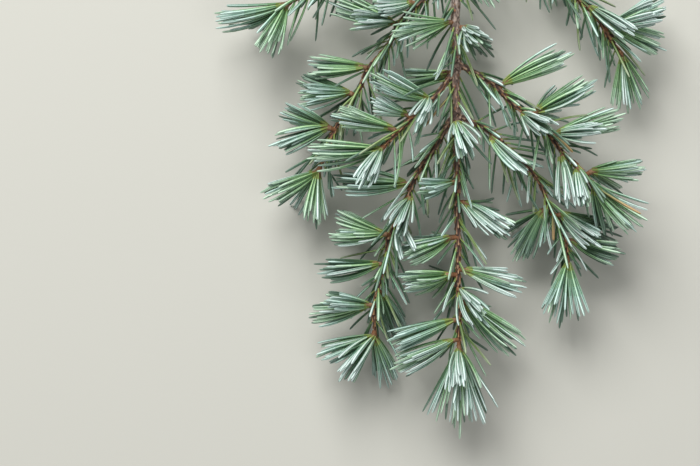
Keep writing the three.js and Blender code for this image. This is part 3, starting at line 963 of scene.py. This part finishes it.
def bend_needle(root, tip, out, opened, habit, chance):
    """A needle's curve by its tuft's habit, and the way that its broad side faces."""
    curl, sweep = habit
    way = tip - root
    reach = np.linalg.norm(way)
    way = way / reach
    square = unit(out - way * (out @ way))
    level = np.cross(way, square)
    bulge = math.tan(min(opened, MOST_CURL) * curl + math.radians(chance.gauss(0, BULGE_SPREAD)))
    sideways = math.tan(math.radians(chance.gauss(0, SIDEWAYS_SPREAD)))
    turn = (root + tip) / 2 + (square * bulge + level * sideways - sweep) * reach / 2
    roll = math.radians(chance.gauss(0, ROLL_SPREAD))
    return (root, turn, tip), square * math.cos(roll) + level * math.sin(roll)


def wood_age(limb, along):
    """How young the wood is at a distance along a limb: 0 on the oldest part of the stem and 1 on a shoot."""
    return min(along / limb.length / OLD_WOOD, 1) if limb.name == "main_stem" else 1


def grow_shoot_needles(limb, bars, chance):
    """Single needles that lean along a limb in a spiral. Those with no free way are skipped."""
    bends, tops, tints = [], [], []
    low_corner, high_corner = [np.array(corner) for corner in MODEL_BOX]
    for order in range(int(limb.length * (1 - SHOOT_START) / SHOOT_PITCH)):
        along = limb.length * SHOOT_START + order * SHOOT_PITCH
        point, tangent = limb.station(along)
        out = way_out(tangent, math.radians(GOLDEN_ANGLE * order))
        tilt = math.radians(chance.uniform(*SHOOT_TILT))
        way = unit(tangent * math.cos(tilt) + out * math.sin(tilt) + HANGING * chance.uniform(*SHOOT_HANG))
        reach = chance.uniform(*SHOOT_LENGTH)
        bow = chance.gauss(*SHOOT_BOW)
        share = TOP_GROWN if out[2] > TOP_SIDE else SHOOT_GROWN
        grown = chance.random() < share * between((OLD_GROWN, 1), wood_age(limb, along))
        # Needles under the limb mostly take the darker shaded tint: painted shade.
        tint = pick_tint(UNDER_SHOOT_WEIGHTS if out[2] < UNDER_SHOOT_SIDE else UPPER_SHOOT_WEIGHTS, chance)
        root = point + out * limb.radius(along) * SHOOT_SINK
        tip = root + way * reach
        first = root + way * reach * SHOOT_FREE_FROM
        inside = (tip > low_corner).all() and (tip < high_corner).all() and tip[2] > NEAREST_TO_FLOOR
        if not (grown and inside and bars.are_clear(first[None], tip[None], SHOOT_ROOM, limb.name)[0]):
            continue
        bends.append((root, root + way * reach * SHOOT_BOW_AT + out * reach * bow, tip))
        tops.append(out)
        tints.append(tint)
        bars.add([first], [tip], SHOOT_ROOM, f"{limb.name} single {order}")
    return bends, tops, tints, [SHOOT_WIDTH] * len(bends)


def needle_materials(settings):
    """The needles' satin skins of wax over green, by tint, strip and zone, and the slot of each."""
    materials, slots = [], {}
    for number, tint in enumerate(TINTS):
        band, edge = getattr(settings, f"{tint}_band"), getattr(settings, f"{tint}_edge")
        for strip, depth in (("band", 0), ("side", SIDE_SHARE[tint]), ("edge", 1)):
            own = blend_colours(band, edge, depth)
            lower = blend_colours(settings.lower_band, settings.lower_edge, depth)
            root = blend_colours(settings.root_band, settings.root_edge, depth)
            shades = {"root": root}
            for zone, share in ZONE_SHARES.items():
                shades[zone] = blend_colours(lower, own, between((LOWER_SHARE[tint], 1), share))
            frost = TIP_SHARE[tint] * (1 - depth / 2)
            shades["end"] = blend_colours(own, settings.tip_frost, frost / 2)
            shades["tip"] = blend_colours(own, settings.tip_frost, frost)
            for zone, colour in shades.items():
                slots[number, strip, zone] = len(materials)
                name = f"waxy_needle_{tint}_{strip}_{zone}"
                materials.append(plain_finish(name, colour, settings.dullness, WAX_GRAIN, settings.bloom))
    return materials, slots


def join_needles(name, grown, nodes, settings):
    """One mesh of needles on their curves, coloured by strip and zone."""
    bends, tops, tints, widths = grown
    template = needle_template()
    materials, slots = needle_materials_once(settings)
    sizes = np.array(widths) * np.random.default_rng(SEED).uniform(*WIDTH_RANGE, len(bends))
    widths, depths = settings.needle_width * sizes, settings.needle_depth * sizes
    lowest = settings.needle_depth / 2
    corners = bend_copies(template, np.array(bends), np.array(tops), widths, depths, lowest)
    obj = join_copies(name, template, corners, lambda part: [slots[tint, *part] for tint in tints], materials)
    finish_piece(obj, nodes, NEEDLE_SMOOTH_ANGLE)


def needle_materials_once(settings):
    """The needles' finishes, made on the first call and shared by all pieces."""
    if not SHARED:
        SHARED.extend(needle_materials(settings))
    return SHARED


def hex_colour(name, description, code):
    """A colour setting with an sRGB hex value as its default."""
    return bpy.props.FloatVectorProperty(name=name, description=description, subtype="COLOR", size=3,
                                         min=0, max=1, default=linear(code))


def length_setting(name, description, value):
    """A length setting in metres."""
    return bpy.props.FloatProperty(name=name, description=description, unit="LENGTH", precision=5,
                                   default=value)


def number_setting(name, description, value):
    """A setting that is a plain number."""
    return bpy.props.FloatProperty(name=name, description=description, min=0, default=value)


class CedarBarkSettings(bpy.types.PropertyGroup):
    """Sizes and colours of the bark and the spur shoots."""

    relief_height: length_setting("Relief height", "How far cushions and flakes stand out", 0.6 * MM)
    spur_width: length_setting("Spur width", "Width of a spur shoot under its crown", 2.2 * MM)
    # The cracks' colour is partly the bark's own and partly painted shade.
    old_groove_and_shade: hex_colour("Old groove", "Cracks between the flakes", "#463A38")
    old_bark: hex_colour("Old bark", "Grey-brown bark of the main stem", "#6F655F")
    flake_grey: hex_colour("Flake", "Raised flakes on the main stem", "#A69C97")
    # The grooves' colour is partly the bark's own and partly painted shade.
    young_groove_and_shade: hex_colour("Young groove", "Between the leaf cushions", "#2E1A12")
    young_bark: hex_colour("Young bark", "Red-brown bark of the young wood", "#7A5236")
    cushion_tan: hex_colour("Leaf cushion", "Tan ridges of the young wood", "#BE9365")
    bud_scale: hex_colour("Bud scale", "Papery scales under the needles", "#86664A")
    # The spur grooves' colour is partly the bark's own and partly painted shade.
    spur_groove_and_shade: hex_colour("Spur groove", "Between the rings of old scales", "#46321F")
    crown_green: hex_colour("Spur crown", "The green crown that the needles leave", "#7C8A45")
    wood: hex_colour("Cut wood", "The flat cut end", "#DCC49A")
    wood_ring: hex_colour("Wood ring", "Narrow rings in the cut wood", "#C39C6A")


class CedarNeedleSettings(bpy.types.PropertyGroup):
    """Sizes and colours of the needles."""

    needle_width: length_setting("Needle width", "Across a needle's broad side", 1.04 * MM)
    needle_depth: length_setting("Needle depth", "Across a needle's narrow side", 0.86 * MM)
    curl: number_setting("Curl", "How far the needles of a narrow tuft open before they close", 0.75)
    dullness: number_setting("Roughness", "How dull the needles' skin is", 0.5)
    bloom: number_setting("Bloom", "Strength of the waxy bloom", 0.1)
    root_band: hex_colour("Root band", "Yellow-green at the crown", "#97A859")
    root_edge: hex_colour("Root edge", "Edge of a needle at the crown", "#566B30")
    lower_band: hex_colour("Lower band", "Green above the root", "#8BB26A")
    lower_edge: hex_colour("Lower edge", "Edge above the root", "#365F30")
    tip_frost: hex_colour("Tip frost", "Wax at a needle's tip", "#DCE7E7")
    # The frosted tint is the needles' pale wax, dealt to tufts that face up partly as painted light.
    frosted_band: hex_colour("Frosted band", "Waxy band of needles that face the light", "#DAEAE3")
    frosted_edge: hex_colour("Frosted edge", "Green edge of those needles", "#467862")
    blue_band: hex_colour("Blue band", "Waxy band of most needles", "#BFDFD1")
    blue_edge: hex_colour("Blue edge", "Edge of most needles", "#3B6D57")
    green_band: hex_colour("Green band", "Waxy band of greener needles", "#BADBB3")
    green_edge: hex_colour("Green edge", "Edge of greener needles", "#427547")
    # The shaded tint is a darker copy of the needles' colours: painted shade.
    shaded_band: hex_colour("Shaded band", "Waxy band of needles on the far side", "#5F8065")
    shaded_edge: hex_colour("Shaded edge", "Edge of needles on the far side", "#244530")
    young_band: hex_colour("Young band", "Band of single needles on the young wood", "#93A36F")
    young_edge: hex_colour("Young edge", "Edge of single needles on the young wood", "#4F632F")
    dry_band: hex_colour("Dry band", "Band of a needle about to fall", "#B69B6C")
    dry_edge: hex_colour("Dry edge", "Edge of a needle about to fall", "#866A42")


class CedarStageSettings(bpy.types.PropertyGroup):
    """The floor, the lights and the background."""

    floor: hex_colour("Floor", "Plain pale floor", "#C4C3BA")
    background: hex_colour("Background", "Soft light from all round", "#E9EDF0")
    ambient: number_setting("Ambient", "Strength of the light from all round", 0.2)
    key_power: number_setting("Key", "Power of the large light, in watts", 35)
    fill_power: number_setting("Fill", "Power of the light by the camera, in watts", 5)


class CEDAR_OT_bark(bpy.types.Operator):
    """Grow the bark of the stem and every side limb"""

    bl_idname = "cedar.bark"
    bl_label = "Bark"

    def execute(self, context):
        settings = context.scene.cedar_bark
        bark = bark_finish("flaking_cedar_bark", settings)
        wood = wood_finish("fresh_cut_wood", settings)
        for limb in LIMBS.values():
            obj = grow_bark(limb, LIMBS, SPURS, settings)
            obj.data.materials.append(bark)
            if limb.name == "main_stem":
                obj.data.materials.append(wood)
                for face in obj.data.polygons:
                    at_cut = face.center.y > CUT_CENTRE[1] - RING_STEP
                    face.material_index = int(at_cut and len(face.vertices) == STEM_CORNERS)
            finish_piece(obj, [limb.name], BARK_SMOOTH_ANGLE)
            BARS.add(limb.points[:-1], limb.points[1:], limb.radius(0), limb.name)
        return {"FINISHED"}


def mass_nodes(limb_name):
    """The model's nodes for a limb's foliage masses."""
    return [mass_name(limb_name, order) for order in range(len(MASS_PLANS[limb_name]))]


def grow_spurs(name, spurs, finishes, settings, chance):
    """One mesh of a limb's spur shoots, each bent from the limb through its fork to its crown."""
    shoot = spur_template()
    bends, tops, widths = [], [], []
    for spur in spurs:
        axis = spur["tuft"]["axis"]
        bends.append((spur["start"], spur["fork"], spur["knob"] + axis * KNOB_LENGTH / 4))
        tops.append(across(axis)[1])
        widths.append(settings.spur_width * chance.uniform(*SPUR_WIDTH_RANGE))
    corners = bend_copies(shoot, np.array(bends), np.array(tops), np.array(widths), np.array(widths))
    order = list(finishes)
    obj = join_copies(f"spurs_{name}", shoot, corners, lambda part: [order.index(part)] * len(spurs),
                      list(finishes.values()))
    finish_piece(obj, mass_nodes(name), SCALE_SMOOTH_ANGLE)


def bud_scale_places(spurs, chance):
    """Curves, tops and widths of the bud scales round each crown."""
    bends, tops, widths = [], [], []
    for spur in spurs:
        axis = spur["tuft"]["axis"]
        for order in range(BUD_SCALES):
            turned = chance.uniform(-BUD_TURN_SPREAD, BUD_TURN_SPREAD)
            out = way_out(axis, math.radians(GOLDEN_ANGLE * order) + turned)
            root = spur["knob"] - axis * chance.uniform(*BUD_UNDER) + out * BUD_OUT
            tilt = math.radians(chance.uniform(*BUD_TILT))
            reach = chance.uniform(*BUD_LENGTH)
            middle = root + (axis * math.cos(tilt) + out * math.sin(tilt)) * reach / 2
            bends.append((root, middle, middle + (axis + out * chance.uniform(*BUD_FLARE)) * reach / 2))
            tops.append(out)
            widths.append(chance.uniform(*BUD_WIDTH))
    return np.array(bends), np.array(tops), np.array(widths)


def bark_scale_places(limb, chance):
    """Curves, tops and widths of the dry scales along a limb."""
    bends, tops, widths = [], [], []
    for order in range(int(limb.length / SCALE_PITCH)):
        along = order * SCALE_PITCH
        point, tangent = limb.station(along)
        turned = chance.uniform(-SCALE_TURN_SPREAD, SCALE_TURN_SPREAD)
        out = way_out(tangent, math.radians(GOLDEN_ANGLE * order) + turned)
        tilt = math.radians(chance.uniform(*SCALE_TILT))
        reach, width = chance.uniform(*SCALE_LENGTH), chance.uniform(*SCALE_WIDTH)
        if chance.random() > between(SCALE_GROWN, wood_age(limb, along)):
            continue
        root = point + out * limb.radius(along) * SCALE_SINK
        middle = root + (tangent * math.cos(tilt) + out * math.sin(tilt)) * reach / 2
        bends.append((root, middle, middle + tangent * reach / 2))
        tops.append(out)
        widths.append(width)
    return np.array(bends), np.array(tops), np.array(widths)


def join_scales(name, places, finishes, nodes):
    """One mesh of scales at their places, in the given finishes by turns."""
    bends, tops, widths = places
    scale = scale_template()
    corners = bend_copies(scale, bends, tops, widths, widths)
    slots = [order % len(finishes) for order in range(len(bends))]
    obj = join_copies(name, scale, corners, lambda part: slots, finishes)
    finish_piece(obj, nodes, SCALE_SMOOTH_ANGLE)


class CEDAR_OT_spurs(bpy.types.Operator):
    """Grow the spur shoots with their rings of old bud scales, and the dry scales along the limbs"""

    bl_idname = "cedar.spurs"
    bl_label = "Spur shoots and scales"

    def execute(self, context):
        settings = context.scene.cedar_bark
        chance = random.Random(SEED)
        # Dull bark, papery scales that catch some light, grooves between them that are dark partly as painted
        # shade, and a satin green crown
        finishes = {
            "bark": plain_finish("spur_shoot_bark", settings.young_bark, roughness=0.85),
            "scale": plain_finish("papery_bud_scale", settings.bud_scale, roughness=0.6),
            "groove": plain_finish("spur_shoot_groove_and_shade", settings.spur_groove_and_shade, roughness=0.9),
            "crown": plain_finish("green_spur_crown", settings.crown_green, roughness=0.5),
        }
        for name, limb in LIMBS.items():
            own = [spur for spur in SPURS if spur["limb"] == name]
            grow_spurs(name, own, finishes, settings, chance)
            papery, dry = [finishes["scale"]], [finishes["bark"], finishes["scale"]]
            join_scales(f"bud_scales_{name}", bud_scale_places(own, chance), papery, mass_nodes(name))
            join_scales(f"bark_scales_{name}", bark_scale_places(limb, chance), dry, [name])
        return {"FINISHED"}


class CEDAR_OT_tuft_needles(bpy.types.Operator):
    """Grow the tufts of needles on the spur shoots"""

    bl_idname = "cedar.tuft_needles"
    bl_label = "Tufts of needles"

    def execute(self, context):
        settings = context.scene.cedar_needles
        chance = random.Random(SEED)
        for name in LIMBS:
            grown = [], [], [], []
            for spur in SPURS:
                if spur["limb"] == name:
                    for kept, new in zip(grown, grow_tuft(spur, BARS, chance, settings)):
                        kept.extend(new)
            join_needles(f"needles_{name}", grown, mass_nodes(name), settings)
        return {"FINISHED"}


class CEDAR_OT_shoot_needles(bpy.types.Operator):
    """Grow the single needles along the wood, most of them on its young part"""

    bl_idname = "cedar.shoot_needles"
    bl_label = "Single needles"

    def execute(self, context):
        settings = context.scene.cedar_needles
        chance = random.Random(SEED + 1)
        for name, limb in LIMBS.items():
            grown = grow_shoot_needles(limb, BARS, chance)
            join_needles(f"single_needles_{name}", grown, [name], settings)
        return {"FINISHED"}


class CEDAR_OT_stage(bpy.types.Operator):
    """Set up the floor, the soft lights and the camera over the spray"""

    bl_idname = "cedar.stage"
    bl_label = "Stage"

    def execute(self, context):
        settings = context.scene.cedar_stage
        bpy.ops.object.select_all(action="DESELECT")
        bpy.ops.mesh.primitive_plane_add(size=FLOOR_SIZE)
        floor = context.object
        floor.name = "floor"
        floor.data.materials.append(plain_finish("pale_matt_floor", settings.floor, 0.9, FLOOR_GRAIN))
        middle = Vector(CUT_CENTRE) + Vector((*VIEW_OFFSET, 0))
        middle.z = VIEW_LEVEL
        add_light("key_light", middle + Vector(KEY_PLACE), middle, KEY_SIZE, settings.key_power)
        add_light("fill_light", middle + Vector(FILL_PLACE), middle, FILL_SIZE, settings.fill_power)
        world = bpy.data.worlds.new("soft_surround")
        world.use_nodes = True
        backdrop = world.node_tree.nodes["Background"]
        backdrop.inputs["Color"].default_value = (*settings.background, 1)
        backdrop.inputs["Strength"].default_value = settings.ambient
        context.scene.world = world
        context.scene.view_settings.view_transform = "Standard"
        distance = VIEW_WIDTH / SENSOR_MM * LENS_MM
        bpy.ops.object.camera_add(location=middle + Vector((0, 0, distance)), rotation=(0, 0, 0))
        camera = context.object
        camera.data.lens = LENS_MM
        camera.data.sensor_width = SENSOR_MM
        context.scene.camera = camera
        return {"FINISHED"}


def add_light(name, place, aim, size, power):
    """A large square light that faces a point."""
    bpy.ops.object.light_add(type="AREA", location=place)
    light = bpy.context.object
    light.name = name
    light.rotation_euler = (aim - place).to_track_quat("-Z", "Y").to_euler()
    light.data.size = size
    light.data.energy = power


class CEDAR_PT_panel(bpy.types.Panel):
    """The cedar spray's settings and pieces"""

    bl_idname = "CEDAR_PT_panel"
    bl_label = "Cedar spray"
    bl_space_type = "VIEW_3D"
    bl_region_type = "UI"
    bl_category = "Cedar"

    def draw(self, context):
        for group, operators in PANEL_ROWS:
            box = self.layout.box()
            settings = getattr(context.scene, group)
            for name in settings.__annotations__:
                box.prop(settings, name)
            for operator in operators:
                box.operator(operator)


PANEL_ROWS = [
    ("cedar_bark", ["cedar.bark", "cedar.spurs"]),
    ("cedar_needles", ["cedar.tuft_needles", "cedar.shoot_needles"]),
    ("cedar_stage", ["cedar.stage"]),
]
SETTINGS = {
    "cedar_bark": CedarBarkSettings,
    "cedar_needles": CedarNeedleSettings,
    "cedar_stage": CedarStageSettings,
}
CLASSES = [*SETTINGS.values(), CEDAR_OT_bark, CEDAR_OT_spurs, CEDAR_OT_tuft_needles, CEDAR_OT_shoot_needles,
           CEDAR_OT_stage, CEDAR_PT_panel]

# What every piece grows from, the bars that are in place so far, and the needles' shared finishes
LIMBS = trace_limbs()
SPURS = place_spurs(LIMBS)
BARS = Bars()
SHARED = []


def register():
    """Registers the settings, the operators and the panel."""
    for cls in CLASSES:
        bpy.utils.register_class(cls)
    for name, group in SETTINGS.items():
        setattr(bpy.types.Scene, name, bpy.props.PointerProperty(type=group))


def unregister():
    """Removes what register added."""
    for name in SETTINGS:
        delattr(bpy.types.Scene, name)
    for cls in reversed(CLASSES):
        bpy.utils.unregister_class(cls)


def main():
    """Builds the whole scene."""
    register()
    bpy.ops.cedar.stage()
    bpy.ops.cedar.bark()
    bpy.ops.cedar.spurs()
    bpy.ops.cedar.tuft_needles()
    bpy.ops.cedar.shoot_needles()
    bpy.context.view_layer.update()
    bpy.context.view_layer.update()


if __name__ == "__main__":
    main()
